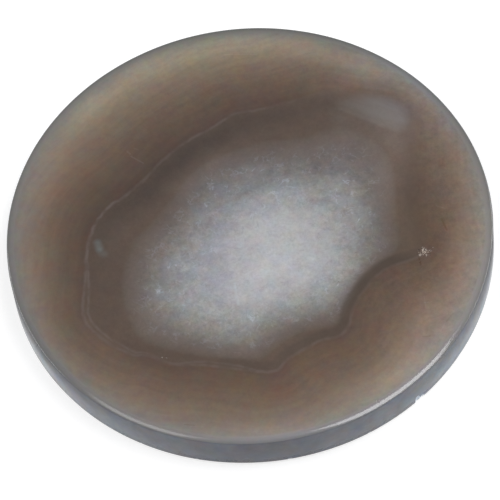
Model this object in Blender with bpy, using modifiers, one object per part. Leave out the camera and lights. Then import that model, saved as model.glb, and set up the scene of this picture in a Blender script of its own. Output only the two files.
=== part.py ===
"""Agate slice: a round polished disc, sawn across an agate nodule and ground at its rim.

It lies on its flat underside. Metres, +Z up, with the origin at the middle of the underside.
"""
import math
from collections import namedtuple

import bmesh
import bpy
from mathutils import Matrix, Vector

# Driving dimensions
MM = 0.001
DIAMETER = 60.0 * MM
THICKNESS = 5.2 * MM
LAP_WIDTH = 0.78 * MM       # ground band between each polished face and the wall
LAP_DROP = 0.20 * MM        # height that the band falls over its width
ARRIS_RADIUS = 0.22 * MM    # softened edge where the band meets the wall
ARRIS_STEPS = 4
TURN_STEPS = 192
MERGE_DISTANCE = 0.01 * MM
SHARP_ANGLE = math.radians(12.0)

RADIUS = DIAMETER / 2.0
LOWER_ARRIS = 0.34 * MM     # height of the wall's lower edge, where the chips broke away

# A chip is a scallop broken out of the wall: the azimuth (degrees from +X) and height of its
# middle, its width along the wall, its height and its depth.
Chip = namedtuple("Chip", "name azimuth z width height depth")
CHIPS = (
    Chip("chip_left_lobe", -54.2, 0.60 * MM, 0.90 * MM, 1.80 * MM, 0.34 * MM),
    Chip("chip_right_lobe", -52.9, LOWER_ARRIS, 1.10 * MM, 1.10 * MM, 0.30 * MM),
    Chip("nick_right", -59.6, LOWER_ARRIS, 0.50 * MM, 0.42 * MM, 0.09 * MM),
    Chip("nick_front_right", -68.0, LOWER_ARRIS, 0.60 * MM, 0.44 * MM, 0.10 * MM),
    Chip("nick_front", -87.5, LOWER_ARRIS, 0.70 * MM, 0.50 * MM, 0.12 * MM),
    Chip("nick_front_left", -109.0, LOWER_ARRIS, 0.52 * MM, 0.44 * MM, 0.10 * MM),
    Chip("nick_left", -122.9, LOWER_ARRIS, 0.60 * MM, 0.46 * MM, 0.11 * MM),
)
# Share of a chip cutter's half depth that stays outside the wall: more makes a shallower bowl.
STANDOFF = 0.6

# A pit is a small open cavity in the upper face: its middle, its width there and its depth.
Pit = namedtuple("Pit", "name x y width depth")
PITS = (
    Pit("pit_middle", 20.9 * MM, -6.3 * MM, 0.68 * MM, 0.16 * MM),
    Pit("pit_west", 20.3 * MM, -6.9 * MM, 0.48 * MM, 0.12 * MM),
    Pit("pit_east", 21.6 * MM, -6.5 * MM, 0.44 * MM, 0.10 * MM),
    Pit("pit_south", 21.1 * MM, -7.1 * MM, 0.36 * MM, 0.09 * MM),
    Pit("pit_core", 9.9 * MM, -9.2 * MM, 0.34 * MM, 0.08 * MM),
    Pit("pit_at_lap", 12.6 * MM, -26.4 * MM, 0.46 * MM, 0.09 * MM),
)


def remove_all_objects():
    for obj in list(bpy.data.objects):
        bpy.data.objects.remove(obj, do_unlink=True)


def new_collection(name):
    collection = bpy.data.collections.new(name)
    bpy.context.scene.collection.children.link(collection)
    return collection


def agate_material():
    """Polished chalcedony, brownish grey."""
    material = bpy.data.materials.new("agate")
    material.use_nodes = True
    shader = material.node_tree.nodes["Principled BSDF"]
    shader.inputs["Base Color"].default_value = (0.178, 0.150, 0.127, 1.0)
    shader.inputs["Roughness"].default_value = 0.12
    shader.inputs["Metallic"].default_value = 0.0
    shader.inputs["IOR"].default_value = 1.54
    return material


def arris(centre_r, centre_z, start_angle, end_angle):
    """Points of the softened edge, from one angle to the other about its centre."""
    points = []
    for step in range(ARRIS_STEPS + 1):
        angle = start_angle + (end_angle - start_angle) * step / ARRIS_STEPS
        r = centre_r + ARRIS_RADIUS * math.cos(angle)
        z = centre_z + ARRIS_RADIUS * math.sin(angle)
        points.append((r, z))
    return points


def slice_profile():
    """Half section of the slice, down its outer side: (radius, height) from top to bottom."""
    turn = math.pi / 2.0 - math.atan2(LAP_DROP, LAP_WIDTH)
    # The edge's circle touches both the wall and the lap band.
    centre_r = RADIUS - ARRIS_RADIUS
    centre_z = THICKNESS - LAP_DROP - ARRIS_RADIUS * math.tan(turn / 2.0)
    points = [(0.0, THICKNESS), (RADIUS - LAP_WIDTH, THICKNESS)]
    points += arris(centre_r, centre_z, turn, 0.0)
    points += arris(centre_r, THICKNESS - centre_z, 0.0, -turn)
    points += [(RADIUS - LAP_WIDTH, 0.0), (0.0, 0.0)]
    return points


def turned_slice(collection):
    """The disc, turned from its half section."""
    mesh = bpy.data.meshes.new("agate_slice")
    points = slice_profile()
    edges = [(i, i + 1) for i in range(len(points) - 1)]
    mesh.from_pydata([(r, 0.0, z) for r, z in points], edges, [])
    obj = bpy.data.objects.new("agate_slice", mesh)
    collection.objects.link(obj)
    screw = obj.modifiers.new("turn", "SCREW")
    screw.axis = "Z"
    screw.angle = math.tau
    screw.steps = TURN_STEPS
    screw.render_steps = TURN_STEPS
    screw.use_merge_vertices = True
    screw.merge_threshold = MERGE_DISTANCE
    return obj


def ellipsoid_cutter(name, half_sizes, place, collection):
    """A closed ellipsoid that cuts a hollow, its half sizes baked into its mesh."""
    mesh = bpy.data.meshes.new(name)
    bm = bmesh.new()
    scale = Matrix.Diagonal((*half_sizes, 1.0))
    bmesh.ops.create_icosphere(bm, subdivisions=2, radius=1.0, matrix=scale)
    bm.to_mesh(mesh)
    bm.free()
    cutter = bpy.data.objects.new(name, mesh)
    cutter.matrix_world = place
    cutter.display_type = "WIRE"
    cutter.hide_render = True
    collection.objects.link(cutter)
    return cutter


def chip_cutter(chip, collection):
    """Its local X points out of the wall, Y along it and Z up."""
    azimuth = math.radians(chip.azimuth)
    half_in = chip.depth / (1.0 - STANDOFF)
    spread = math.sqrt(1.0 - STANDOFF ** 2)
    half_sizes = (half_in, chip.width / 2.0 / spread, chip.height / 2.0 / spread)
    out = Vector((math.cos(azimuth), math.sin(azimuth), 0.0))
    middle = out * (RADIUS + half_in * STANDOFF) + Vector((0.0, 0.0, chip.z))
    place = Matrix.Translation(middle) @ Matrix.Rotation(azimuth, 4, "Z")
    return ellipsoid_cutter(chip.name, half_sizes, place, collection)


def pit_cutter(pit, collection):
    """A ball that dips below the upper face by the pit's depth and is as wide there as the pit."""
    ball = ((pit.width / 2.0) ** 2 + pit.depth ** 2) / (2.0 * pit.depth)
    middle = Vector((pit.x, pit.y, THICKNESS - pit.depth + ball))
    return ellipsoid_cutter(pit.name, (ball, ball, ball), Matrix.Translation(middle), collection)


def cut(obj, cutter):
    boolean = obj.modifiers.new(cutter.name, "BOOLEAN")
    boolean.operation = "DIFFERENCE"
    boolean.solver = "EXACT"
    boolean.object = cutter


def settle_shape(obj):
    """Give the object its evaluated mesh, so that the shading can follow its real edges."""
    evaluated = obj.evaluated_get(bpy.context.evaluated_depsgraph_get())
    mesh = bpy.data.meshes.new_from_object(evaluated)
    obj.modifiers.clear()
    obj.data = mesh
    mesh.shade_smooth()
    mesh.set_sharp_from_angle(angle=SHARP_ANGLE)


def main():
    remove_all_objects()
    parts = new_collection("agate_slice")
    cutters = new_collection("cutters")
    disc = turned_slice(parts)
    disc.data.materials.append(agate_material())
    for chip in CHIPS:
        cut(disc, chip_cutter(chip, cutters))
    for pit in PITS:
        cut(disc, pit_cutter(pit, cutters))
    settle_shape(disc)


main()
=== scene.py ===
"""Agate slice: the polished stone with its bands and quartz core, on a pale studio floor.

Sizes are in millimetres and are turned into metres where a mesh, a light or the camera is made.
"""
import math
import random
from collections import namedtuple

import bmesh
import bpy
import numpy as np
from mathutils import Euler, Matrix, Vector


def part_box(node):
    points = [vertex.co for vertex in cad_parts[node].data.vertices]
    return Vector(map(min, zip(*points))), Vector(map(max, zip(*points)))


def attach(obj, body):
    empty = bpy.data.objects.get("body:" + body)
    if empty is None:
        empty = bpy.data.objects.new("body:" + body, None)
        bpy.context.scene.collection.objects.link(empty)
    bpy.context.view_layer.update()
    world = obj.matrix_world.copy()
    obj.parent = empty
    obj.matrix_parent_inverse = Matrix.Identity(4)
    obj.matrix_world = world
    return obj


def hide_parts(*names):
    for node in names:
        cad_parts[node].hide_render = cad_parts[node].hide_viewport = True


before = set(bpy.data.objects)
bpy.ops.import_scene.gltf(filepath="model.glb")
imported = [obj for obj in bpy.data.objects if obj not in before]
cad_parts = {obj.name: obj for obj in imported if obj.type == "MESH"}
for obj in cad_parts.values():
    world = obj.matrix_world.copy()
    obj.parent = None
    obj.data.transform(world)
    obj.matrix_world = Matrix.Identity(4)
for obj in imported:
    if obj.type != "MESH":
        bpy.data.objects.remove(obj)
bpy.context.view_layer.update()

# Driving sizes, in mm
MM = 0.001
_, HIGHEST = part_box("agate_slice")
RADIUS = HIGHEST.x / MM
THICKNESS = HIGHEST.z / MM
LAP_WIDTH = 0.78            # ground band between each polished face and the wall
LAP_TILTS = (math.radians(8.0), math.radians(21.0))   # the band's slope at its inner and outer edge
CREASE_RADIUS = 0.6         # softened crease where the band meets the face
ARRIS_RADIUS = 0.22         # softened edge where the band meets the wall
LOWER_ARRIS = 0.34          # height of the wall's lower edge
FACE_RADIUS = RADIUS - LAP_WIDTH
UPPER_ZONE = THICKNESS - 1.0   # pits and specks lie above this height, and chips below it
FACE_SWELL = 0.004          # unevenness that hand polishing leaves in the upper face
WALL_SWAY = 0.006           # the same in the wall
TINY = 1e-6                 # keeps a share from being nothing divided by nothing

# Fineness of the mesh
GRID_CELLS = 160
CREASE_STEPS = 3
LAP_STEPS = 6
ARRIS_STEPS = 6
WALL_STEPS = 12
SHARP_ANGLE = math.radians(28.0)

# The wavy band line that parts the brown ring from the dark fringe, clockwise from the left.
BAND_LINE = (
    (-20.0, 0.2), (-19.1, 2.8), (-18.1, 4.4), (-16.6, 6.0), (-15.0, 6.8), (-13.5, 8.0), (-11.8, 9.3),
    (-10.2, 11.0), (-8.9, 12.0), (-7.3, 13.2), (-5.2, 14.4), (-3.5, 15.1), (-1.8, 16.0), (-0.6, 16.7),
    (0.7, 17.1), (3.5, 17.2), (7.7, 17.8), (9.9, 18.3), (11.3, 18.6), (12.3, 18.5), (14.6, 17.5),
    (16.7, 16.9), (18.8, 16.3), (20.5, 15.1), (21.4, 13.4), (21.6, 12.1), (21.4, 9.7), (20.9, 4.7),
    (20.8, -0.6), (21.0, -4.1), (20.9, -6.6), (19.2, -7.4), (17.3, -7.8), (15.7, -8.4), (14.2, -9.4),
    (13.0, -10.7), (11.7, -12.4), (10.9, -14.0), (10.7, -15.1), (10.0, -16.1), (9.0, -16.8),
    (7.1, -17.0), (5.3, -17.7), (3.6, -18.5), (2.3, -19.3), (1.4, -20.2), (0.6, -20.4), (-1.1, -20.2),
    (-4.4, -19.2), (-8.6, -18.1), (-10.8, -17.8), (-12.9, -16.7), (-14.5, -15.9), (-15.8, -15.7),
    (-17.5, -14.6), (-19.1, -13.2), (-20.6, -11.3), (-21.3, -9.8), (-21.4, -8.1), (-20.9, -5.6),
)
# Three outlines of the quartz core: where it starts to pale, where it is half pale, and its heart.
CORE_EDGE = (
    (-16.6, -7.5), (-16.2, -4.0), (-14.3, 0.5), (-12.5, 2.3), (-9.3, 5.6), (-6.8, 8.8), (-3.2, 11.0),
    (2.9, 12.5), (7.9, 12.4), (12.1, 13.3), (15.3, 12.1), (17.9, 9.6), (18.9, 5.4), (18.4, -0.6),
    (18.3, -4.6), (17.2, -6.5), (15.0, -7.8), (13.0, -9.4), (11.5, -11.6), (10.3, -13.8), (9.3, -15.1),
    (7.5, -15.5), (4.5, -15.8), (2.2, -16.9), (-0.1, -18.5), (-1.3, -18.7), (-7.1, -17.5),
    (-12.7, -15.3), (-15.1, -13.6), (-16.3, -10.4),
)
CORE_MIDDLE = (
    (-11.5, -7.5), (-10.5, -4.3), (-9.1, -1.7), (-6.4, 1.4), (-5.2, 3.4), (-2.6, 5.6), (1.9, 6.9),
    (6.9, 6.0), (11.7, 4.7), (13.2, 3.4), (13.5, 1.4), (14.1, -0.9), (13.8, -4.1), (12.9, -6.9),
    (11.3, -9.1), (9.5, -11.4), (8.0, -12.3), (2.0, -13.3), (-0.6, -14.3), (-3.1, -14.6), (-5.6, -13.9),
    (-9.1, -11.8), (-10.8, -9.1),
)
CORE_HEART = (
    (-3.7, -6.5), (-2.8, -2.9), (-0.7, -0.7), (1.7, 1.1), (4.6, 1.2), (6.7, -0.4), (8.6, -2.4),
    (8.8, -5.8), (7.0, -7.6), (3.0, -9.6), (-0.1, -10.3), (-3.1, -9.2),
)
# Greyer chalcedony that fills the bay of the band line at the upper right.
GREY_PATCH = (
    (12.6, 16.7), (14.8, 17.3), (17.0, 17.3), (19.2, 16.5), (20.9, 15.2), (21.7, 13.6), (21.5, 12.1),
    (20.4, 11.4), (18.4, 12.0), (16.4, 13.4), (14.4, 15.0),
)
PATCH_EDGE = (0.7, -1.4)    # distance from its outline where it starts and where it is full
PATCH_FADE = (8.0, 20.0)    # x where it is faintest and where it is full
PATCH_DEPTH = 1.5           # how far it reaches down
# The bands lean as they go down through the slice: shift per mm of depth, and growth per mm.
LEAN = np.array((0.16, -0.12))
GROWTH = 0.012

# How clearly the pale band line shows, and the dark lip on its inner side, round the slice: pairs of
# azimuth in degrees from +X and strength.
LINE_STRENGTH = (
    (-180, 0.75), (-165, 0.5), (-145, 0.4), (-120, 0.4), (-105, 0.5), (-87, 0.5), (-70, 0.4),
    (-55, 0.4), (-42, 0.3), (-30, 0.25), (-20, 0.3), (-14, 0.0), (55, 0.0), (75, 0.35), (95, 0.5),
    (120, 0.4), (135, 0.35), (150, 0.55), (160, 0.7),
)
LIP_STRENGTH = (
    (-180, 0.1), (-120, 0.2), (-100, 0.5), (-75, 0.6), (-50, 1.0), (-22, 1.2), (-16, 0.1), (60, 0.0),
    (90, 0.2), (150, 0.2),
)
# Where the line parts in two, how far its inner half moves off it.
LINE_SPLIT = ((-178, 0.0), (-160, 0.7), (-140, 0.6), (-125, 0.0), (-112, 0.5), (-100, 0.4), (-90, 0.0))
# Half width, in mm, over which the dark fringe turns into the brown ring.
EDGE_SOFTNESS = ((-30, 0.3), (-14, 1.2), (0, 2.0), (35, 2.0), (55, 0.8), (75, 0.3))

# A cloud is a soft change of tone, in the stone itself or, where its list says so, painted light and shade:
# azimuth of its middle, its place across the slice, half width in degrees round it, half width in mm
# across it, and red, green and blue in steps of the 0 to 255 scale at mid grey. The place is a radius,
# a distance outwards from the band line, or a height.
Cloud = namedtuple("Cloud", "azimuth place sweep width red green blue")
# Tone across the face by radius. The pale clouds within about 4 mm of the rim are painted light that comes
# in through the edge, and the two dark ones at azimuth 85 are painted shade on the band along the far rim.
RADIUS_TONES_AND_RIM_LIGHT = (
    Cloud(98, 26.8, 42, 2.0, 17, 20, 14), Cloud(97, 23.2, 36, 1.8, 8, 8, 8),
    Cloud(131, 27.2, 12, 1.5, 7, 7, 6), Cloud(58, 25.6, 16, 2.5, 6, 8, 11),
    Cloud(36, 27.2, 14, 2.8, -7, -4, 3), Cloud(155, 24.0, 16, 3.0, 3, 0, -3),
    Cloud(170, 28.4, 14, 1.5, -4, -4, -4), Cloud(85, 29.1, 78, 0.8, -13, -11, -11),
    Cloud(85, 29.9, 78, 0.6, -36, -34, -34), Cloud(-158, 29.5, 32, 0.8, -14, -12, -10),
    Cloud(-140, 28.4, 30, 1.6, -4, -4, -4), Cloud(-45, 27.0, 30, 2.4, 11, 10, 10),
    Cloud(-57, 27.8, 9, 1.6, 10, 10, 9), Cloud(-35, 24.2, 7, 1.8, 8, 8, 8),
    Cloud(-17, 26.0, 12, 1.8, 9, 9, 8), Cloud(-16, 28.6, 24, 1.4, 5, 6, 6),
    Cloud(-10, 21.5, 16, 3.5, 3, 2, -2), Cloud(-90, 28.6, 12, 1.4, 7, 7, 7),
    Cloud(-148, 23.8, 16, 1.4, 11, 10, 10), Cloud(-46, 24.6, 9, 1.6, 9, 9, 9),
    Cloud(-75, 29.6, 40, 0.5, -4, -1, 4),
)
BAND_CLOUDS = (
    Cloud(120, -1.8, 62, 2.0, -17, -15, -13), Cloud(150, 1.5, 36, 3.0, -9, -9, -9),
    Cloud(27, -1.0, 17, 4.0, 24, 25, 27), Cloud(47, 3.0, 12, 4.0, 10, 11, 12),
    Cloud(10, 0.0, 15, 1.8, -7, -7, -7), Cloud(-75, 2.2, 55, 3.5, 8, 6, 4),
    Cloud(8, -2.5, 14, 2.0, 8, 8, 8), Cloud(110, -1.3, 50, 1.0, -4, -4, -3),
    Cloud(115, -4.2, 55, 1.5, 4, 4, 5), Cloud(10, -1.0, 18, 1.2, -3, -3, -3),
)
# Painted light and shade on the wall, placed by height: paler low down at azimuths -22, -43 and -155 and at
# mid height at -152, where light comes up through the stone from the floor; darker across the front, at both
# sides and along the top, and a dark line along the foot.
PAINTED_WALL_LIGHT_AND_SHADE = (
    Cloud(-22, 0.2, 14, 2.2, 24, 26, 26), Cloud(-43, 1.6, 11, 2.0, 13, 18, 17),
    Cloud(-155, 0.2, 16, 2.4, 20, 20, 19), Cloud(-152, 2.4, 14, 1.4, 18, 19, 18),
    Cloud(-94, 2.5, 19, 4.0, -27, -29, -25), Cloud(0, 3.0, 12, 4.0, -36, -36, -36),
    Cloud(180, 3.5, 12, 4.0, -32, -34, -36), Cloud(-12, 4.4, 12, 1.8, -36, -36, -36),
    Cloud(-20, 4.9, 20, 1.5, -20, -20, -20), Cloud(-156, 4.9, 26, 1.5, -34, -34, -36),
    Cloud(-90, 0.3, 75, 0.4, -20, -20, -20),
)
TONE_STEP = 52.0            # this many steps make the stone e times brighter

# A glow is a soft change of tone about a line from one point to another, with its half width.
Glow = namedtuple("Glow", "x0 y0 x1 y1 width red green blue")
GLOWS = (
    Glow(-1.0, -7.3, 3.0, -6.0, 2.8, 8, 8, 9), Glow(-9.0, -6.0, -4.0, 2.0, 3.0, 2, 2, 4),
    Glow(-6.0, 7.0, 12.0, 8.5, 5.0, -3, -2, 0), Glow(-8.5, 7.5, -3.5, 10.5, 2.0, 7, 7, 6),
    Glow(-4.0, 4.0, 1.5, 6.5, 2.2, -7, -8, -8), Glow(-4.0, -1.0, -4.0, -8.5, 2.0, -6, -6, -4),
    Glow(0.0, -2.0, 5.0, -2.0, 1.8, 5, 5, 5), Glow(-15.0, -11.5, -4.0, -13.0, 2.5, 5, 5, 5),
    Glow(8.0, 10.5, 16.0, 10.5, 1.8, 5, 5, 5), Glow(11.5, -7.5, 13.0, -8.0, 1.5, 6, 6, 6),
    Glow(-4.0, -16.0, 1.0, -16.5, 2.0, 4, 4, 4), Glow(13.0, 14.2, 19.5, 10.0, 1.8, 3, 6, 8),
    Glow(10.5, 18.9, 13.5, 18.9, 1.2, 8, 8, 8), Glow(7.5, 4.0, 9.0, 4.0, 1.5, 6, 6, 6),
)

# A chip is a scallop broken out of the wall: azimuth in degrees from +X, height of its middle, width
# along the wall, height and depth.
Chip = namedtuple("Chip", "azimuth z width height depth")
CHIPS = (
    Chip(-54.2, 0.6, 0.9, 1.8, 0.34),
    Chip(-52.9, LOWER_ARRIS, 1.1, 1.1, 0.3),
    Chip(-59.6, LOWER_ARRIS, 0.5, 0.42, 0.09),
    Chip(-68.0, LOWER_ARRIS, 0.6, 0.44, 0.1),
    Chip(-87.5, LOWER_ARRIS, 0.7, 0.5, 0.12),
    Chip(-109.0, LOWER_ARRIS, 0.52, 0.44, 0.1),
    Chip(-122.9, LOWER_ARRIS, 0.6, 0.46, 0.11),
)
CHIP_STANDOFF = 0.6         # share of a cutter's half depth that stays outside the wall
CHIP_RIPPLE = 0.05          # shell-like ripples of the break, as a share of the cutter's size
RIPPLE_RATE = 11.0          # how closely the ripples follow each other
BREAK_DEPTHS = (0.01, 0.03)   # below the worked surface, where broken stone starts and is full

# A pit is a small broken hollow in the upper face. Shade: 1 is pale, partly powdered stone and partly
# painted glints, -1 is dark.
Pit = namedtuple("Pit", "x y width depth shade")
PITS = (
    Pit(20.9, -6.3, 0.68, 0.16, 1.0), Pit(20.3, -6.9, 0.48, 0.12, 1.0), Pit(21.6, -6.5, 0.44, 0.1, 0.5),
    Pit(21.1, -7.1, 0.36, 0.09, 0.2), Pit(20.2, -6.2, 0.3, 0.1, -1.0), Pit(21.5, -7.0, 0.24, 0.08, -1.0),
    Pit(20.7, -5.9, 0.26, 0.07, 0.8), Pit(22.0, -6.1, 0.24, 0.06, 0.6), Pit(20.1, -7.8, 0.2, 0.06, -0.8),
    Pit(9.9, -9.2, 0.34, 0.08, -1.0), Pit(12.6, -26.4, 0.46, 0.09, -0.6), Pit(-12.4, -16.5, 0.26, 0.05, 0.6),
    Pit(-11.9, -16.7, 0.2, 0.05, 0.45),
)
PIT_LUMPINESS = 0.06        # how far a pit's facets stand in and out, as a share of its size

# Spots where fine pale specks lie about the pits, partly stone powder and partly painted glints: x, y and
# spread.
SPECK_AND_GLINT_SPOTS = ((20.9, -6.6, 1.1),)
# Spots where bluish white filaments gather in the quartz: x, y and spread.
FROST_SPOTS = (
    (-5.2, 3.2, 1.5), (-2.9, 6.0, 1.3), (1.2, 7.2, 1.6), (-10.0, -3.8, 1.3), (-11.6, -7.6, 1.2),
    (-5.2, -2.6, 1.2), (-6.8, -4.6, 1.1), (-9.2, -9.8, 1.0), (4.7, 5.0, 2.2), (12.0, 5.0, 1.4),
    (12.0, 2.4, 1.4), (13.6, -0.2, 1.6), (1.5, 2.5, 1.8), (8.2, -9.4, 1.0), (-1.0, -13.0, 1.2),
)

# A mark is a short scratch or streak on the upper face, from one point to another. Shade: above 0 is
# paler than the stone round it, below 0 is darker.
MARK_BLUR = 0.05            # how far it fades past its width
Mark = namedtuple("Mark", "x0 y0 x1 y1 width shade")
MARKS = (
    Mark(13.2, 15.8, 18.2, 12.4, 0.8, 0.010),
    Mark(-13.4, 12.7, -12.0, 11.5, 0.22, 0.022), Mark(-13.8, 13.5, -13.5, 13.1, 0.3, 0.022),
    Mark(-12.9, 13.9, -12.4, 13.5, 0.2, 0.012), Mark(19.9, -13.7, 20.8, -13.7, 0.14, 0.025),
    Mark(20.0, -12.8, 20.0, -14.5, 0.12, 0.02), Mark(22.2, -16.7, 23.1, -15.7, 0.2, -0.02),
    Mark(21.3, -18.0, 22.0, -16.9, 0.16, 0.02), Mark(19.1, -18.4, 20.0, -18.4, 0.16, -0.03),
    Mark(-10.7, -26.1, -9.5, -26.4, 0.14, -0.03), Mark(-0.2, 26.1, 3.9, 25.5, 0.12, 0.02),
    Mark(23.6, -2.3, 24.0, -3.9, 0.3, -0.018), Mark(23.2, -0.2, 24.2, -0.8, 0.24, 0.015),
    Mark(20.1, -7.3, 20.2, -8.3, 0.2, -0.022), Mark(9.8, -9.7, 9.9, -9.5, 0.16, 0.12),
    Mark(1.1, 0.9, 1.2, -0.1, 0.18, -0.05), Mark(-2.1, -2.5, -1.5, -2.7, 0.16, -0.04),
)
# Marks of bluish white quartz.
BLUE_MARKS = (
    Mark(-18.7, 0.8, -18.6, 0.0, 1.5, 0.055), Mark(-18.5, -0.5, -18.1, -0.9, 1.6, 0.03),
    Mark(-2.6, -7.5, -2.5, -10.6, 0.4, 0.04), Mark(-11.9, -7.5, -11.4, -7.4, 0.26, 0.08),
    Mark(-9.2, -9.6, -9.0, -9.7, 0.2, 0.08),
)
# How strong the ring's fine cloudiness is round the slice: pairs of azimuth and strength.
RING_GRAIN = ((-90, 1.3), (-60, 1.4), (-25, 2.6), (25, 2.6), (60, 1.6), (120, 1.5), (150, 1.0))

# Colours, on the 0 to 255 scale as the eye sees them. In a ramp, each follows its place on the ramp:
# the share of the way from band line to rim, from the core's edge to its heart, and mm past the face.
# The ring ramp's paling and greying towards the rim is partly the chalcedony's own colour and partly painted
# light that comes in through the edge.
RING_RAMP_WITH_EDGE_LIGHT = (
    (0.0, 86, 70, 61), (0.12, 91, 75, 65), (0.25, 95, 79, 68), (0.4, 102, 86, 74),
    (0.55, 109, 94, 81), (0.7, 119, 104, 92), (0.85, 126, 114, 104), (0.95, 131, 124, 116),
    (1.0, 135, 129, 124),
)
CORE_RAMP = (
    (0.0, 89, 75, 66), (0.05, 94, 83, 75), (0.12, 99, 88, 82), (0.25, 106, 98, 94),
    (0.4, 119, 114, 110), (0.55, 132, 130, 127), (0.75, 150, 150, 150), (1.0, 168, 168, 170),
)
LAP_RAMP = ((0.0, 136, 130, 126), (0.3, 134, 129, 126), (0.55, 125, 122, 119), (0.9, 118, 117, 116))
WALL_COLOUR = (96, 99, 106)
PATCH_COLOUR = (120, 119, 116)
LINE_COLOUR = (124, 114, 111)
LIP_COLOUR = (66, 58, 52)
FROST_COLOUR = (168, 178, 192)
PALE_FILAMENT = (205, 212, 226)
DARK_FILAMENT = (88, 86, 84)
# Pale powder in the pits and specks about them, partly the stone's own colour and partly painted glints.
POWDER_AND_GLINT_COLOUR = (205, 190, 176)
PIT_COLOUR = (62, 50, 44)
CHIP_COLOUR = (208, 220, 232)

# Finish
IOR = 1.54
POLISH = (0.09, 0.08)       # least roughness of the polished stone, and how much patches add to it
WALL_POLISH = (0.14, 0.4)   # what the ground wall adds to it at its foot and at its top
BREAK_ROUGHNESS = 0.35      # what broken stone adds to it
GRAIN_RELIEF = 0.02         # relief of the quartz grains under the polish

# UV map: middle and radius of the two faces, and foot, height and margin of the wall's two strips.
UPPER_MAP = ((0.32, 0.675), 0.31)
UNDER_MAP = ((0.82, 0.72), 0.17)
BACK_STRIP = 0.04
FRONT_STRIP = 0.17
STRIP_HEIGHT = 0.1
STRIP_MARGIN = 0.02


def smooth_loop(points, steps=6):
    """A closed Catmull-Rom curve through the points."""
    here = np.array(points)
    before, after, later = (np.roll(here, shift, axis=0) for shift in (1, -1, -2))
    t = np.arange(steps)[None, :, None] / steps
    bend = (2 * before - 5 * here + 4 * after - later)[:, None]
    twist = (3 * here - before - 3 * after + later)[:, None]
    curve = here[:, None] + 0.5 * ((after - before)[:, None] * t + bend * t ** 2 + twist * t ** 3)
    return curve.reshape(-1, 2)


def distance_to_line(points, line):
    """Distance of each point from an open line of straight pieces."""
    x, y = points.T
    nearest = np.full(len(points), np.inf)
    for (ax, ay), (bx, by) in zip(line, line[1:]):
        dx, dy = bx - ax, by - ay
        along = np.clip(((x - ax) * dx + (y - ay) * dy) / (dx * dx + dy * dy), 0.0, 1.0)
        nearest = np.minimum(nearest, np.hypot(x - ax - along * dx, y - ay - along * dy))
    return nearest


def signed_distance(points, outline):
    """Distance of each point from a closed outline, negative inside it."""
    x, y = points.T
    loop = smooth_loop(outline)
    loop = np.concatenate([loop, loop[:1]])
    inside = np.zeros(len(points), bool)
    for (ax, ay), (bx, by) in zip(loop, loop[1:]):
        if ay != by:
            inside ^= ((ay > y) != (by > y)) & (x < ax + (y - ay) * (bx - ax) / (by - ay))
    nearest = distance_to_line(points, loop)
    return np.where(inside, -nearest, nearest)


def smoothstep(low, high, value):
    """Eases from 0 to 1 as the value goes from low to high."""
    t = np.clip((value - low) / (high - low), 0.0, 1.0)
    return t * t * (3.0 - 2.0 * t)


def disc_grid():
    """Points of a square grid spread evenly over the unit disc, and the order round its edge."""
    side = np.linspace(-1.0, 1.0, GRID_CELLS + 1)
    a, b = np.meshgrid(side, side, indexing="ij")
    steep = np.abs(a) < np.abs(b)
    main = np.where(steep, b, a)
    cross = np.where(steep, a, b)
    turn = math.pi / 4.0 * cross / np.where(main == 0.0, 1.0, main)
    turn = np.where(steep, math.pi / 2.0 - turn, turn)
    points = np.stack([main * np.cos(turn), main * np.sin(turn)], axis=-1).reshape(-1, 2)
    index = np.arange((GRID_CELLS + 1) ** 2).reshape(GRID_CELLS + 1, GRID_CELLS + 1)
    edge = np.concatenate([index[:-1, 0], index[-1, :-1], index[:0:-1, -1], index[0, :0:-1]])
    return points, index, edge


def arc(centre, radius, start, end, steps):
    """Points of a circle's arc from one angle to another."""
    angles = [start + (end - start) * step / steps for step in range(steps + 1)]
    return [(centre[0] + radius * math.cos(a), centre[1] + radius * math.sin(a)) for a in angles]


def straight(start, end, steps):
    """Points between two ends, without the ends."""
    shares = [step / steps for step in range(1, steps)]
    return [tuple(a + (b - a) * share for a, b in zip(start, end)) for share in shares]


def edge_profile():
    """Section of the slice's edge, from the upper face round the wall to the underside."""
    upright = math.pi / 2.0
    inner, outer = LAP_TILTS
    reach = CREASE_RADIUS * math.tan(inner / 2.0)
    crease_centre = (FACE_RADIUS - reach, THICKNESS - CREASE_RADIUS)
    crease = arc(crease_centre, CREASE_RADIUS, upright, upright - inner, CREASE_STEPS)
    # The band is slightly rounded: its arc and the arris just fill its width.
    lap_span = LAP_WIDTH - ARRIS_RADIUS * (1.0 - math.sin(outer))
    lap_radius = lap_span / (math.sin(outer) - math.sin(inner))
    lap_centre = (FACE_RADIUS - lap_radius * math.sin(inner), THICKNESS - lap_radius * math.cos(inner))
    lap = arc(lap_centre, lap_radius, upright - inner, upright - outer, LAP_STEPS)
    arris_z = lap[-1][1] - ARRIS_RADIUS * math.cos(outer)
    arris = arc((RADIUS - ARRIS_RADIUS, arris_z), ARRIS_RADIUS, upright - outer, 0.0, ARRIS_STEPS)
    upper = crease + lap[1:] + arris[1:]
    lower = [(r, THICKNESS - z) for r, z in reversed(upper)]
    return upper + straight(upper[-1], lower[0], WALL_STEPS) + lower


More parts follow.
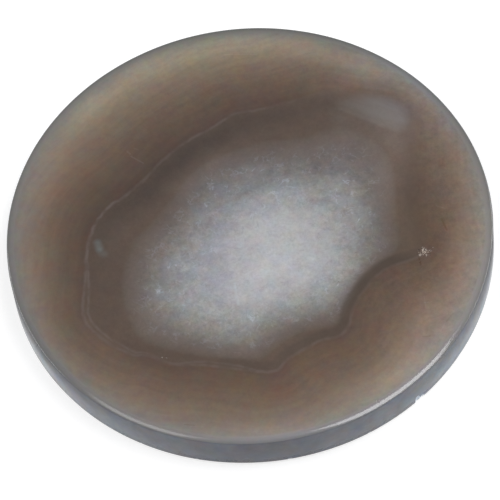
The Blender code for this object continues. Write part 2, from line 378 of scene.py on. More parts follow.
def slice_mesh():
    """The whole slice: a grid over each face, joined by rings round the edge."""
    profile = edge_profile()
    disc, index, edge = disc_grid()
    face_points = disc * profile[0][0]
    rim = disc[edge]
    top = np.column_stack([face_points, np.full(len(disc), THICKNESS)])
    rings = [np.column_stack([rim * r, np.full(len(rim), z)]) for r, z in profile[1:-1]]
    under = np.column_stack([face_points, np.zeros(len(disc))])
    points = np.concatenate([top, *rings, under]) * MM
    first_ring = len(disc)
    under_start = first_ring + len(rings) * len(rim)
    loops = [edge]
    loops += [first_ring + k * len(rim) + np.arange(len(rim)) for k in range(len(rings))]
    loops += [under_start + edge]
    quads = np.stack([index[:-1, :-1], index[1:, :-1], index[1:, 1:], index[:-1, 1:]], axis=-1)
    quads = quads.reshape(-1, 4)
    faces = [quads, under_start + quads[:, ::-1]]
    for upper, lower in zip(loops, loops[1:]):
        faces.append(np.stack([upper, lower, np.roll(lower, -1), np.roll(upper, -1)], axis=-1))
    mesh = bpy.data.meshes.new("slice_blank")
    mesh.from_pydata(points.tolist(), [], np.concatenate(faces).tolist())
    return mesh


def new_object(name, data):
    obj = bpy.data.objects.new(name, data)
    bpy.context.scene.collection.objects.link(obj)
    return obj


def object_from(name, bm):
    """Turns a finished bmesh into an object."""
    mesh = bpy.data.meshes.new(name)
    bm.to_mesh(mesh)
    bm.free()
    return new_object(name, mesh)


def chip_cutter(number, chip):
    """An ellipsoid with shell-like ripples round the point where the blow fell."""
    azimuth = math.radians(chip.azimuth)
    half_in = chip.depth / (1.0 - CHIP_STANDOFF)
    spread = math.sqrt(1.0 - CHIP_STANDOFF ** 2)
    half_sizes = Vector((half_in, chip.width / 2.0 / spread, chip.height / 2.0 / spread)) * MM
    bm = bmesh.new()
    bmesh.ops.create_icosphere(bm, subdivisions=4, radius=1.0)
    blow = Vector((-0.2, 0.3, -1.0))
    for vert in bm.verts:
        ripple = math.cos(RIPPLE_RATE * (vert.co - blow).length + number)
        uneven = math.sin(4.0 * vert.co.y + 2.0 * number) * math.cos(3.0 * vert.co.z + number)
        vert.co *= 1.0 - CHIP_RIPPLE * (0.5 + 0.25 * ripple + 0.25 * uneven)
    out = Vector((math.cos(azimuth), math.sin(azimuth), 0.0))
    middle = out * (RADIUS + half_in * CHIP_STANDOFF) * MM + Vector((0.0, 0.0, chip.z * MM))
    place = Matrix.Translation(middle) @ Matrix.Rotation(azimuth, 4, "Z")
    bm.transform(place @ Matrix.Diagonal((*half_sizes, 1.0)))
    return object_from(f"chip_cutter_{number}", bm)


def pit_cutter(number, pit, rng):
    """A randomly turned, many-sided lump whose flat facets break the polish."""
    ball = ((pit.width / 2.0) ** 2 + pit.depth ** 2) / (2.0 * pit.depth)
    bm = bmesh.new()
    bmesh.ops.create_icosphere(bm, subdivisions=2, radius=ball * MM)
    for vert in bm.verts:
        vert.co *= rng.uniform(1.0 - PIT_LUMPINESS, 1.0 + PIT_LUMPINESS)
    turn = Euler([rng.uniform(0.0, math.tau) for _ in range(3)]).to_matrix().to_4x4()
    middle = Vector((pit.x, pit.y, THICKNESS - pit.depth + ball)) * MM
    bm.transform(Matrix.Translation(middle) @ turn)
    return object_from(f"pit_cutter_{number}", bm)


def cut_away(obj, cutters):
    """Cuts the hollows and leaves the object with its finished mesh."""
    for cutter in cutters:
        boolean = obj.modifiers.new(cutter.name, "BOOLEAN")
        boolean.operation = "DIFFERENCE"
        boolean.solver = "EXACT"
        boolean.object = cutter
    evaluated = obj.evaluated_get(bpy.context.evaluated_depsgraph_get())
    mesh = bpy.data.meshes.new_from_object(evaluated)
    obj.modifiers.clear()
    obj.data = mesh
    for cutter in cutters:
        bpy.data.objects.remove(cutter, do_unlink=True)
    bm = bmesh.new()
    bm.from_mesh(mesh)
    bmesh.ops.triangulate(bm, faces=[face for face in bm.faces if len(face.verts) > 4])
    bm.to_mesh(mesh)
    bm.free()


def read(items, name, size=1, kind=np.float32):
    """One property of every item of a mesh."""
    values = np.empty(len(items) * size, kind)
    items.foreach_get(name, values)
    return values


def vertex_places(mesh):
    """Vertex positions in mm."""
    return read(mesh.vertices, "co", 3).reshape(-1, 3).astype(float) / MM


def store(mesh, name, values):
    """Keeps a number, or three numbers, at each vertex for the material."""
    kind, key = ("FLOAT", "value") if values.ndim == 1 else ("FLOAT_VECTOR", "vector")
    mesh.attributes.new(name, kind, "POINT").data.foreach_set(key, values.astype(np.float32).ravel())


def broken_depth(places):
    """0 on the worked surface and 1 a little way below it."""
    radius = np.hypot(places[:, 0], places[:, 1])
    surface = [(0.0, THICKNESS), *edge_profile(), (0.0, 0.0)]
    section = np.column_stack([radius, places[:, 2]])
    return smoothstep(*BREAK_DEPTHS, distance_to_line(section, surface))


def pit_shade(places):
    """1 in pale pits, partly powdered stone and partly painted glints, -1 in dark pits and 0 elsewhere."""
    shade = np.zeros(len(places))
    for pit in PITS:
        near = np.hypot(places[:, 0] - pit.x, places[:, 1] - pit.y) < pit.width
        shade[near & (places[:, 2] > UPPER_ZONE)] = pit.shade
    return shade


def chip_shade(places):
    """1 in the deepest chip, less in the others and 0 elsewhere."""
    azimuth = np.degrees(np.arctan2(places[:, 1], places[:, 0]))
    low = places[:, 2] < UPPER_ZONE
    deepest = max(chip.depth for chip in CHIPS)
    shade = np.zeros(len(places))
    for chip in CHIPS:
        reach = math.degrees(chip.width / RADIUS)
        near = low & (np.abs(azimuth - chip.azimuth) < reach)
        shade[near] = np.maximum(shade[near], chip.depth / deepest)
    return shade


def share_across(start, end):
    """0 before the start, rising to 1 at the end. The distances from both are negative past them."""
    past = np.clip(-start, 0.0, None)
    return past / (past + np.clip(end, 0.0, None) + TINY)


def core_blend(points):
    """0 outside the quartz core, 0.5 on its middle outline and 1 in its heart."""
    edge = signed_distance(points, CORE_EDGE)
    middle = signed_distance(points, CORE_MIDDLE)
    heart = signed_distance(points, CORE_HEART)
    return np.where(middle > 0.0, 0.5 * share_across(edge, middle), 0.5 + 0.5 * share_across(middle, heart))


def gathered(points, spots):
    """1 at the middle of each spot, falling off over its spread."""
    share = np.zeros(len(points))
    for x, y, spread in spots:
        squared = (points[:, 0] - x) ** 2 + (points[:, 1] - y) ** 2
        share = np.maximum(share, np.exp(-squared / spread ** 2))
    return share


def round_the_slice(azimuth, pairs):
    """Reads a value that changes round the slice from its (azimuth, value) pairs."""
    stops, values = zip(*pairs)
    return np.interp(azimuth, stops, values, period=360.0)


def cloud_steps(azimuth, place, clouds):
    """How far the clouds together shift the stone's red, green and blue."""
    steps = np.zeros((len(azimuth), 3))
    for cloud in clouds:
        turn = (azimuth - cloud.azimuth + 180.0) % 360.0 - 180.0
        far = (turn / cloud.sweep) ** 2 + ((place - cloud.place) / cloud.width) ** 2
        steps += np.exp(-far)[:, None] * (cloud.red, cloud.green, cloud.blue)
    return steps


def glow_steps(points):
    """How far the glows together shift the stone's red, green and blue."""
    steps = np.zeros((len(points), 3))
    for glow in GLOWS:
        far = distance_to_line(points, ((glow.x0, glow.y0), (glow.x1, glow.y1))) / glow.width
        steps += np.exp(-far ** 2)[:, None] * (glow.red, glow.green, glow.blue)
    return steps


def as_gain(steps):
    """Turns steps of tone into a factor for the light that the stone returns."""
    return np.exp(steps / TONE_STEP)


def store_bands(mesh):
    """What the material needs to know about each point's place in the stone's bands."""
    places = vertex_places(mesh)
    depth = (THICKNESS - places[:, 2])[:, None]
    points = places[:, :2] * (1.0 - GROWTH * depth) + LEAN * depth
    band = signed_distance(points, BAND_LINE)
    radius = np.hypot(points[:, 0], points[:, 1])
    azimuth = np.degrees(np.arctan2(points[:, 1], points[:, 0]))
    softness = round_the_slice(azimuth, EDGE_SOFTNESS)
    store(mesh, "band", band)
    store(mesh, "outside", smoothstep(-softness, softness, band))
    store(mesh, "ring", share_across(-band, FACE_RADIUS - radius))
    store(mesh, "core", core_blend(points))
    patch = smoothstep(*PATCH_EDGE, signed_distance(points, GREY_PATCH))
    patch *= smoothstep(PATCH_DEPTH, 0.0, depth[:, 0]) * smoothstep(*PATCH_FADE, points[:, 0])
    store(mesh, "patch", patch)
    store(mesh, "frost", gathered(points, FROST_SPOTS))
    strengths = {"line": LINE_STRENGTH, "lip": LIP_STRENGTH, "split": LINE_SPLIT, "grain": RING_GRAIN}
    for name, pairs in strengths.items():
        store(mesh, name, round_the_slice(azimuth, pairs))
    # The face's tones include painted light near the rim and painted shade along the far rim.
    clouds = cloud_steps(azimuth, radius, RADIUS_TONES_AND_RIM_LIGHT) + cloud_steps(azimuth, band, BAND_CLOUDS)
    store(mesh, "face_tone_and_rim_light_shade", as_gain(clouds + glow_steps(points)))
    # Painted light and shade on the wall.
    store(mesh, "wall_painted_light_shade", as_gain(cloud_steps(azimuth, places[:, 2], PAINTED_WALL_LIGHT_AND_SHADE)))


def store_damage(mesh):
    """Where the stone is broken, and where pale specks lie, partly stone and partly painted glints."""
    places = vertex_places(mesh)
    broken = broken_depth(places)
    store(mesh, "pit", broken * pit_shade(places))
    store(mesh, "chip", broken * chip_shade(places))
    store(mesh, "specks", gathered(places, SPECK_AND_GLINT_SPOTS) * (places[:, 2] > UPPER_ZONE))


def map_for_baking(mesh):
    """UV map: the upper face largest, the underside smaller, and the wall in two strips."""
    layer = mesh.uv_layers.new(name="OFBake")
    places = vertex_places(mesh)
    corners = read(mesh.loops, "vertex_index", kind=np.int32)
    starts = read(mesh.polygons, "loop_start", kind=np.int32)
    totals = read(mesh.polygons, "loop_total", kind=np.int32)
    up = np.repeat(read(mesh.polygons, "normal", 3)[2::3], totals)
    centres = np.add.reduceat(places[corners], starts) / totals[:, None]
    centre = np.repeat(centres, totals, axis=0)
    spot = places[corners]
    uv = np.empty((len(corners), 2))
    top = (up > 0.5) & (centre[:, 2] > THICKNESS / 2.0)
    under = (up < -0.5) & (centre[:, 2] < THICKNESS / 2.0)
    side = ~(top | under)
    for flat, (middle, size) in ((top, UPPER_MAP), (under, UNDER_MAP)):
        uv[flat] = middle + spot[flat, :2] / RADIUS * size
    # Each face of the wall goes wholly into the front strip or the back strip.
    around = np.arctan2(centre[side, 1], centre[side, 0])
    own = np.arctan2(spot[side, 1], spot[side, 0])
    own = around + (own - around + math.pi) % math.tau - math.pi
    back = around > 0.0
    along = np.where(back, own, own + math.pi) / math.pi
    uv[side, 0] = STRIP_MARGIN + (1.0 - 2.0 * STRIP_MARGIN) * along
    uv[side, 1] = np.where(back, BACK_STRIP, FRONT_STRIP) + STRIP_HEIGHT * spot[side, 2] / THICKNESS
    layer.data.foreach_set("uv", uv.astype(np.float32).ravel())


def soften_surface(mesh):
    """The last trace of hand polishing: the upper face and the wall dip by up to 0.02 mm."""
    places = vertex_places(mesh)
    x, y, z = places.T
    r = np.hypot(x, y)
    azimuth = np.arctan2(y, x)
    swell = np.sin(0.41 * x + 0.9) * np.cos(0.33 * y - 0.4) + 0.5 * np.sin(0.19 * x - 0.53 * y)
    on_top = smoothstep(THICKNESS - 0.5, THICKNESS, z)
    z -= FACE_SWELL * (1.5 + swell) * on_top
    sway = np.sin(7.0 * azimuth + 0.6) + 0.6 * np.sin(17.0 * azimuth + 1.1 * z) + 0.3 * np.sin(2.3 * z)
    on_wall = smoothstep(RADIUS - 0.3, RADIUS, r)
    shrink = 1.0 - WALL_SWAY * (1.9 + sway) * on_wall / RADIUS
    moved = np.column_stack([x * shrink, y * shrink, z]) * MM
    mesh.vertices.foreach_set("co", moved.astype(np.float32).ravel())
    mesh.update()


def make_slice():
    """The slice: cut, told where its bands lie, and given its material."""
    rng = random.Random(11)
    obj = new_object("polished_slice", slice_mesh())
    cutters = [chip_cutter(number, chip) for number, chip in enumerate(CHIPS)]
    cutters += [pit_cutter(number, pit, rng) for number, pit in enumerate(PITS)]
    cut_away(obj, cutters)
    mesh = obj.data
    mesh.name = "polished_slice"
    store_bands(mesh)
    store_damage(mesh)
    map_for_baking(mesh)
    soften_surface(mesh)
    mesh.shade_smooth()
    mesh.set_sharp_from_angle(angle=SHARP_ANGLE)
    mesh.materials.append(agate_material())
    return obj


def linear(red, green, blue):
    """A colour on the 0 to 255 scale, as the eye sees it, in linear light."""
    shares = [value / 255.0 for value in (red, green, blue)]
    light = [s / 12.92 if s <= 0.04045 else ((s + 0.055) / 1.055) ** 2.4 for s in shares]
    return (*light, 1.0)


class Graph:
    """Adds nodes to one node tree and joins them."""

    def __init__(self, tree):
        self.tree = tree
        tree.nodes.clear()

    def node(self, kind, inputs=(), **settings):
        node = self.tree.nodes.new(kind)
        for name, value in settings.items():
            setattr(node, name, value)
        for key, value in dict(inputs).items():
            self.give(value, node.inputs[key])
        return node

    def give(self, value, socket):
        if isinstance(value, bpy.types.NodeSocket):
            self.tree.links.new(value, socket)
        else:
            socket.default_value = value

    def math(self, operation, a, b=0.0, clamp=False):
        return self.node("ShaderNodeMath", {0: a, 1: b}, operation=operation, use_clamp=clamp).outputs[0]

    def plus(self, a, b):
        return self.math("ADD", a, b)

    def minus(self, a, b):
        return self.math("SUBTRACT", a, b)

    def times(self, a, b, clamp=False):
        return self.math("MULTIPLY", a, b, clamp)

    def xyz(self, x=0.0, y=0.0, z=0.0):
        return self.node("ShaderNodeCombineXYZ", {0: x, 1: y, 2: z}).outputs[0]

    def vector(self, operation, a, b=(0.0, 0.0, 0.0)):
        node = self.node("ShaderNodeVectorMath", {0: a, 1: b}, operation=operation)
        return node.outputs["Value" if operation in ("DOT_PRODUCT", "LENGTH") else "Vector"]

    def scale(self, vector, factor):
        node = self.node("ShaderNodeVectorMath", {0: vector, "Scale": factor}, operation="SCALE")
        return node.outputs[0]

    def mix(self, share, a, b, blend="MIX"):
        node = self.node("ShaderNodeMix", {0: share, 6: a, 7: b}, data_type="RGBA", blend_type=blend)
        return node.outputs[2]

    def span(self, value, low, high, to_low=0.0, to_high=1.0):
        """Eases from one number to another as the value goes from low to high."""
        inputs = {"Value": value, 1: low, 2: high, 3: to_low, 4: to_high}
        return self.node("ShaderNodeMapRange", inputs, interpolation_type="SMOOTHSTEP").outputs[0]

    def ramp(self, value, stops):
        """Reads a colour off a ramp, whose stops are pairs of place and colour."""
        node = self.node("ShaderNodeValToRGB", {0: value})
        elements = node.color_ramp.elements
        while len(elements) < len(stops):
            elements.new(0.5)
        for element, (place, colour) in zip(elements, stops):
            element.position = place
            element.color = colour
        return node.outputs[0]

    def attribute(self, name, output="Fac"):
        return self.node("ShaderNodeAttribute", attribute_name=name).outputs[output]

    def noise(self, place, scale, detail=2.0, roughness=0.5, output=0):
        inputs = {"Vector": place, "Scale": scale, "Detail": detail, "Roughness": roughness}
        return self.node("ShaderNodeTexNoise", inputs).outputs[output]


def ramp_colours(stops):
    """Ramp stops from (place, red, green, blue)."""
    return [(place, linear(*colour)) for place, *colour in stops]


def mark_group():
    """Node group: how much one short mark lightens or darkens a point."""
    tree = bpy.data.node_groups.new("mark", "ShaderNodeTree")
    for name, kind in (("Place", "Vector"), ("Start", "Vector"), ("Reach", "Vector"),
                       ("Inverse", "Float"), ("Width", "Float"), ("Shade", "Float")):
        tree.interface.new_socket(name, in_out="INPUT", socket_type=f"NodeSocket{kind}")
    tree.interface.new_socket("Sum", in_out="OUTPUT", socket_type="NodeSocketFloat")
    graph = Graph(tree)
    given = graph.node("NodeGroupInput").outputs
    away = graph.vector("SUBTRACT", given["Place"], given["Start"])
    dot = graph.vector("DOT_PRODUCT", away, given["Reach"])
    share = graph.times(dot, given["Inverse"], clamp=True)
    off = graph.vector("SUBTRACT", away, graph.scale(given["Reach"], share))
    strength = graph.span(graph.vector("LENGTH", off), given["Width"], 0.0)
    graph.node("NodeGroupOutput", {"Sum": graph.times(strength, given["Shade"])})
    return tree


def marks_sum(graph, place, marks, group):
    """The short marks added up: above 0 pales the stone and below 0 darkens it."""
    total = 0.0
    for mark in marks:
        reach = (mark.x1 - mark.x0, mark.y1 - mark.y0, 0.0)
        inputs = {
            "Place": place, "Start": (mark.x0, mark.y0, 0.0), "Reach": reach,
            "Inverse": 1.0 / (reach[0] ** 2 + reach[1] ** 2), "Width": mark.width / 2.0 + MARK_BLUR,
            "Shade": mark.shade,
        }
        total = graph.plus(total, graph.node("ShaderNodeGroup", inputs, node_tree=group).outputs["Sum"])
    return total


def add_marks(graph, place, on_top, colour):
    """Scratches, specks and bluish quartz streaks on the upper face."""
    group = mark_group()
    plain = graph.times(marks_sum(graph, place, MARKS, group), on_top)
    blue = graph.times(marks_sum(graph, place, BLUE_MARKS, group), on_top)
    colour = graph.mix(1.0, colour, grey(graph, plain), "ADD")
    red, green = (graph.times(blue, share) for share in (0.5, 0.9))
    return graph.mix(1.0, colour, graph.xyz(red, green, blue), "ADD")


def uneven(graph, colour, amount, texture):
    """Multiplies a colour by a texture that varies about one half."""
    swing = graph.vector("SUBTRACT", texture, (0.5, 0.5, 0.5))
    gain = graph.vector("ADD", graph.scale(swing, amount), (1.0, 1.0, 1.0))
    return graph.vector("MULTIPLY", colour, gain)


def grey(graph, value):
    return graph.xyz(value, value, value)


def varied(graph, colour, texture, light, warm, green):
    """Varies a colour's lightness, warmth and greenness by the three channels of a texture."""
    channels = graph.node("ShaderNodeSeparateColor", {0: texture}).outputs
    swings = [graph.minus(channel, 0.5) for channel in channels]
    warmth = graph.times(swings[0], warm)
    gain = graph.plus(graph.times(swings[2], light), 1.0)
    red = graph.plus(gain, warmth)
    middle = graph.plus(gain, graph.times(swings[1], green))
    blue = graph.minus(gain, warmth)
    return graph.vector("MULTIPLY", colour, graph.xyz(red, middle, blue))


def ring_colour(graph, place, drift):
    """Brown chalcedony between the band line and the rim, paler and greyer outwards: partly its own colour,
    partly painted light that comes in through the edge.
    """
    share = graph.plus(graph.attribute("ring"), graph.times(drift, 0.05))
    colour = graph.ramp(share, ramp_colours(RING_RAMP_WITH_EDGE_LIGHT))
    # Faint growth bands follow the band line, and soft blotches and fine cloudiness lie over them.
    across = graph.xyz(z=graph.times(graph.attribute("band"), 1.4))
    along = graph.vector("ADD", graph.scale(place, 0.15), across)
    colour = uneven(graph, colour, 0.3, grey(graph, graph.noise(along, 1.0, detail=4.0)))
    blotches = graph.noise(place, 0.4, detail=3.0, roughness=0.6, output=1)
    colour = varied(graph, colour, blotches, 0.1, 0.34, 0.36)
    cloudiness = graph.noise(place, 1.2, detail=5.0, roughness=0.8, output=1)
    strength = graph.times(graph.attribute("grain"), 0.3)
    return varied(graph, colour, cloudiness, strength, 0.2, 0.28)


def core_colour(graph, drift):
    """The dark fringe, and the granular quartz that pales towards its heart."""
    share = graph.plus(graph.attribute("core"), graph.times(drift, 0.06))
    return graph.ramp(share, ramp_colours(CORE_RAMP))


def grey_patch(graph, place, colour):
    """The greyer chalcedony in the bay of the band line, faintly streaked along its lower edge."""
    along = graph.vector("DOT_PRODUCT", place, (0.1, -0.067, 0.0))
    across = graph.vector("DOT_PRODUCT", place, (0.36, 0.54, 0.0))
    streaks = graph.noise(graph.xyz(along, across), 1.0, detail=4.0)
    streaks = graph.span(streaks, 0.3, 0.65, 0.26, 0.42)
    share = graph.times(graph.attribute("patch"), streaks)
    return graph.mix(share, colour, linear(*PATCH_COLOUR))


def strokes(graph, place, scale, thinness):
    """Short wandering filaments: where a noise passes its middle value, broken up by another."""
    level = graph.math("ABSOLUTE", graph.minus(graph.noise(place, scale), 0.5))
    shown = graph.span(graph.noise(place, scale * 0.8, detail=1.0), 0.5, 0.62)
    return graph.times(graph.span(level, thinness, 0.0), shown)


def quartz_mottle(graph, place, bent, strength, colour):
    """Coarse and fine mottling of the quartz, and slow changes of its tint."""
    coarse = graph.noise(place, 0.5, detail=5.0, roughness=0.8)
    fine = graph.noise(bent, 2.3, detail=3.0, roughness=0.7)
    tint = graph.noise(place, 0.65, roughness=0.55, output=1)
    colour = uneven(graph, colour, strength, grey(graph, coarse))
    colour = uneven(graph, colour, graph.times(strength, 0.6), grey(graph, fine))
    swing = graph.times(strength, 0.3)
    return varied(graph, colour, tint, 0.0, swing, swing)


def pale_flecks(graph, place):
    """A pale dot in a few of the quartz grains."""
    grains = graph.node("ShaderNodeTexVoronoi", {"Vector": place, "Scale": 1.35}).outputs
    level = graph.node("ShaderNodeSeparateColor", {0: grains["Color"]}).outputs[0]
    dot = graph.span(grains["Distance"], 0.34, 0.05)
    return graph.times(graph.span(level, 0.86, 0.95), dot)


def quartz_grain(graph, place, colour):
    """Frosted mottling of the quartz, with pale and dark filaments and pale flecks."""
    core = graph.attribute("core")
    frost = graph.attribute("frost")
    strength = graph.minus(graph.span(core, 0.0, 0.42), graph.span(core, 0.6, 1.0, 0.0, 0.35))
    strength = graph.math("MAXIMUM", strength, 0.45)
    wander = graph.scale(graph.noise(place, 1.1, output=1), 0.9)
    bent = graph.vector("ADD", place, wander)
    colour = quartz_mottle(graph, place, bent, strength, colour)
    colour = graph.mix(graph.times(frost, 0.12), colour, linear(*FROST_COLOUR))
    pale = graph.math("MAXIMUM", strokes(graph, bent, 0.9, 0.05), pale_flecks(graph, bent))
    shown = graph.plus(graph.times(frost, 0.2), 0.07)
    shown = graph.times(shown, graph.span(core, 0.02, 0.3))
    colour = graph.mix(graph.times(pale, shown), colour, linear(*PALE_FILAMENT))
    aside = graph.vector("ADD", bent, (31.0, 7.0, 0.0))
    dark = graph.times(strokes(graph, aside, 0.8, 0.04), graph.span(core, 0.02, 0.4))
    return graph.mix(graph.times(dark, 0.14), colour, linear(*DARK_FILAMENT)), strength


def band_lines(graph, place, colour):
    """The thin pale line along the band, doubled in places, and the dark lip inside it."""
    band = graph.attribute("band")
    place_in_lip = graph.math("ABSOLUTE", graph.plus(band, 0.68))
    lip = graph.times(graph.span(place_in_lip, 0.98, 0.34), graph.attribute("lip"))
    colour = graph.mix(graph.times(lip, 0.5), colour, linear(*LIP_COLOUR))
    wobble = graph.minus(graph.noise(place, 1.1), 0.5)
    band = graph.plus(band, graph.times(wobble, 0.3))
    outer = graph.span(graph.math("ABSOLUTE", band), 0.36, 0.0)
    inner = graph.math("ABSOLUTE", graph.plus(band, graph.attribute("split")))
    inner = graph.span(inner, 0.3, 0.0)
    strength = graph.times(graph.math("MAXIMUM", outer, inner), graph.attribute("line"))
    broken = graph.span(graph.noise(place, 0.6, detail=4.0), 0.35, 0.6, 0.12, 0.43)
    return graph.mix(graph.times(strength, broken), colour, linear(*LINE_COLOUR))


def rim_colour(graph, place, radius, colour):
    """The ground band and the wall: unpolished, bluish grey and slightly mottled, with painted shade on the
    band along the far rim and painted light and shade on the wall.
    """
    lap = graph.ramp(graph.minus(radius, FACE_RADIUS), ramp_colours(LAP_RAMP))
    lap = uneven(graph, lap, 0.2, graph.noise(place, 1.2, detail=4.0, output=1))
    # The band carries the face's tones, with painted shade along the far rim.
    lap = graph.vector("MULTIPLY", lap, graph.attribute("face_tone_and_rim_light_shade", "Vector"))
    # Painted light and shade on the wall.
    wall = graph.vector("MULTIPLY", linear(*WALL_COLOUR)[:3], graph.attribute("wall_painted_light_shade", "Vector"))
    patches = graph.noise(place, 0.4, detail=4.0, roughness=0.7, output=1)
    wall = varied(graph, wall, patches, 1.2, 0.85, 0.65)
    on_wall = graph.span(radius, RADIUS - 0.12, RADIUS - 0.02)
    colour = graph.mix(graph.span(radius, FACE_RADIUS - 0.3, FACE_RADIUS), colour, lap)
    return graph.mix(on_wall, colour, wall), on_wall


def broken_stone(graph, place, colour):
    """Powdered stone in the pits and specks of it about them, their pale parts partly painted glints, and
    pale broken stone in the chips.
    """
    pit = graph.attribute("pit")
    chip = graph.attribute("chip")
    specks = graph.attribute("specks")
    powder = graph.noise(place, 7.0, roughness=0.7)
    in_pit = graph.math("ABSOLUTE", pit)
    dark = graph.times(in_pit, graph.span(powder, 0.56, 0.42, 0.0, 0.5))
    colour = graph.mix(dark, colour, linear(*PIT_COLOUR))
    # Pale specks about the pits: partly stone powder, partly painted glints.
    scatter = graph.times(graph.minus(powder, 0.5), 2.4)
    scatter = graph.span(graph.plus(specks, scatter), 0.95, 1.15)
    scatter = graph.times(scatter, graph.span(specks, 0.1, 0.5))
    pale = graph.times(graph.math("MAXIMUM", pit, 0.0), graph.span(powder, 0.46, 0.6))
    pale = graph.math("MAXIMUM", pale, graph.times(scatter, 0.9))
    colour = graph.mix(graph.times(pale, 0.85), colour, linear(*POWDER_AND_GLINT_COLOUR))
    flakes = graph.span(graph.noise(place, 1.6, detail=3.0), 0.3, 0.6, 0.6, 1.0)
    colour = graph.mix(graph.times(chip, flakes), colour, linear(*CHIP_COLOUR))
    return colour, graph.math("MAXIMUM", in_pit, chip)


def surface_roughness(graph, place, height, on_wall, broken):
    """Polished faces, a ground wall that is most matt at its top, and rough broken stone."""
    least, patchy = POLISH
    rough = graph.plus(graph.times(graph.noise(place, 0.9, detail=4.0), patchy), least)
    ground = graph.span(height, 0.6, 4.4, *WALL_POLISH)
    rough = graph.plus(rough, graph.times(on_wall, ground))
    return graph.plus(rough, graph.times(broken, BREAK_ROUGHNESS))


def agate_material():
    """Polished agate: its bands, its ground edge and its broken places."""
    material = bpy.data.materials.new("agate")
    material.use_nodes = True
    graph = Graph(material.node_tree)
    place = graph.scale(graph.node("ShaderNodeTexCoord").outputs["Object"], 1.0 / MM)
    split = graph.node("ShaderNodeSeparateXYZ", {0: place}).outputs
    flat = graph.xyz(*split[:2])
    radius = graph.vector("LENGTH", flat)
    drift = graph.minus(graph.noise(place, 0.16, detail=3.0), 0.5)
    inner, grain = quartz_grain(graph, place, core_colour(graph, drift))
    colour = graph.mix(graph.attribute("outside"), inner, ring_colour(graph, place, drift))
    colour = grey_patch(graph, place, colour)
    # Tone changes, with painted light near the rim and painted shade along the far rim.
    colour = graph.vector("MULTIPLY", colour, graph.attribute("face_tone_and_rim_light_shade", "Vector"))
    colour = band_lines(graph, place, colour)
    on_top = graph.span(split[2], THICKNESS - 0.3, THICKNESS - 0.1)
    colour = add_marks(graph, flat, on_top, colour)
    colour, on_wall = rim_colour(graph, place, radius, colour)
    colour, broken = broken_stone(graph, place, colour)
    rough = surface_roughness(graph, place, split[2], on_wall, broken)
    relief = graph.times(graph.noise(place, 2.6, detail=3.0), grain)
    bump = graph.node("ShaderNodeBump", {"Height": relief, "Strength": 0.04, "Distance": GRAIN_RELIEF * MM})
    shader = graph.node("ShaderNodeBsdfPrincipled", {
        "Base Color": colour, "Roughness": rough, "Normal": bump.outputs[0], "IOR": IOR,
    })
    graph.node("ShaderNodeOutputMaterial", {"Surface": shader.outputs[0]})
    return material


# Studio, in mm and degrees
FLOOR_SIZE = 6000.0
FLOOR_GREY = 0.5
FLOOR_GLOW = 0.64
# The surroundings' brightness: pairs of the sine of the elevation and brightness.
STUDIO_LIGHT = ((0.0, 0.9), (0.2, 0.7), (0.4, 0.46), (0.65, 0.335), (1.0, 0.265))
STUDIO_TINT = (1.0, 1.0, 1.02)
CAMERA_ELEVATION = 58.666
CAMERA_ROLL = -7.457
CAMERA_DISTANCE = 487.5
CAMERA_LENS = 282.84
CAMERA_SENSOR = 36.0
CAMERA_AIM = (-0.222, 0.041)   # how far right and up of the origin the camera looks

# A soft box: azimuth and elevation in degrees of its middle as seen from the slice, its distance, its
# length and width, the azimuth that its length points along, and its brightness.
SoftBox = namedtuple("SoftBox", "name azimuth elevation distance length width turn radiance")
SOFT_BOXES = (
    SoftBox("soft_box_right", -6.5, 70.5, 700.0, 280.0, 236.0, 36.5, 7.0),
    SoftBox("soft_box_left", -175.6, 69.3, 700.0, 203.0, 190.0, 141.0, 3.2),
    SoftBox("side_box_right", 15.0, 25.0, 900.0, 600.0, 400.0, 105.0, 4.2),
    SoftBox("side_box_left", 165.0, 25.0, 900.0, 600.0, 400.0, 75.0, 4.2),
)


def make_floor():
    """A pale table that glows a little, so that shadows stay faint."""
    bm = bmesh.new()
    bmesh.ops.create_grid(bm, x_segments=1, y_segments=1, size=FLOOR_SIZE / 2.0 * MM)
    floor = object_from("floor", bm)
    material = bpy.data.materials.new("floor")
    material.use_nodes = True
    graph = Graph(material.node_tree)
    shader = graph.node("ShaderNodeBsdfPrincipled", {
        "Base Color": (FLOOR_GREY, FLOOR_GREY, FLOOR_GREY, 1.0), "Emission Color": (1.0, 1.0, 1.0, 1.0),
        "Emission Strength": FLOOR_GLOW, "Roughness": 0.9, "Specular IOR Level": 0.1,
    })
    graph.node("ShaderNodeOutputMaterial", {"Surface": shader.outputs[0]})
    floor.data.materials.append(material)


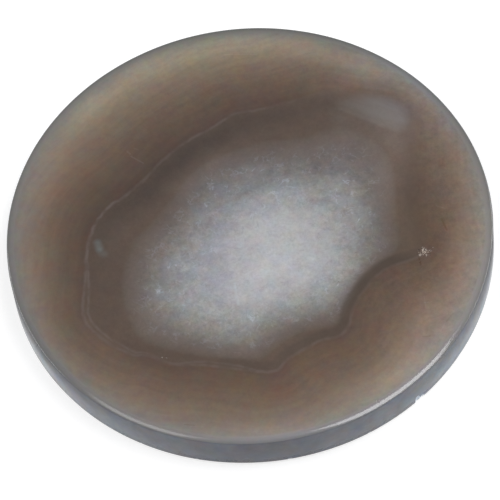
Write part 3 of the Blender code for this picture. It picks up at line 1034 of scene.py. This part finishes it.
def make_world():
    """A pale studio wall near the horizon, and a dimmer ceiling."""
    world = bpy.data.worlds.new("studio")
    world.use_nodes = True
    graph = Graph(world.node_tree)
    direction = graph.node("ShaderNodeTexCoord").outputs["Generated"]
    height = graph.node("ShaderNodeSeparateXYZ", {0: direction}).outputs[2]
    stops = [(place, (*(level * share for share in STUDIO_TINT), 1.0)) for place, level in STUDIO_LIGHT]
    light = graph.ramp(height, stops)
    background = graph.node("ShaderNodeBackground", {"Color": light})
    graph.node("ShaderNodeOutputWorld", {"Surface": background.outputs[0]})
    bpy.context.scene.world = world


def make_soft_box(box):
    """A rectangular light that faces the slice."""
    azimuth, elevation, turn = (math.radians(angle) for angle in (box.azimuth, box.elevation, box.turn))
    out = Vector((math.cos(azimuth) * math.cos(elevation), math.sin(azimuth) * math.cos(elevation),
                  math.sin(elevation)))
    across = out.cross(Vector((math.cos(turn), math.sin(turn), 0.0))).normalized()
    along = across.cross(out)
    light = bpy.data.lights.new(box.name, "AREA")
    light.shape = "RECTANGLE"
    light.size = box.length * MM
    light.size_y = box.width * MM
    light.energy = box.radiance * math.pi * light.size * light.size_y
    turned = Matrix((along, across, out)).transposed().to_4x4()
    new_object(box.name, light).matrix_world = Matrix.Translation(out * box.distance * MM) @ turned


def make_camera():
    """It stands in front of the slice, on its -Y side, and looks down on it, slightly rolled."""
    elevation = math.radians(CAMERA_ELEVATION)
    roll = math.radians(CAMERA_ROLL)
    back = Vector((0.0, -math.cos(elevation), math.sin(elevation)))
    level = Vector((1.0, 0.0, 0.0))
    rise = back.cross(level)
    right = level * math.cos(roll) + rise * math.sin(roll)
    up = rise * math.cos(roll) - level * math.sin(roll)
    centre = back * CAMERA_DISTANCE * MM
    aim = (right * CAMERA_AIM[0] + up * CAMERA_AIM[1]) * MM
    back = (centre - aim).normalized()
    right = up.cross(back).normalized()
    up = back.cross(right)
    data = bpy.data.cameras.new("camera")
    data.lens = CAMERA_LENS
    data.sensor_width = CAMERA_SENSOR
    data.clip_start = 1.0 * MM
    data.clip_end = 20.0
    camera = new_object("camera", data)
    camera.matrix_world = Matrix.Translation(centre) @ Matrix((right, up, back)).transposed().to_4x4()
    bpy.context.scene.camera = camera


def main():
    make_camera()
    make_floor()
    make_world()
    for box in SOFT_BOXES:
        make_soft_box(box)
    stone = make_slice()
    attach(stone, "root")
    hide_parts("agate_slice")
    bpy.context.scene.view_settings.view_transform = "Standard"


main()
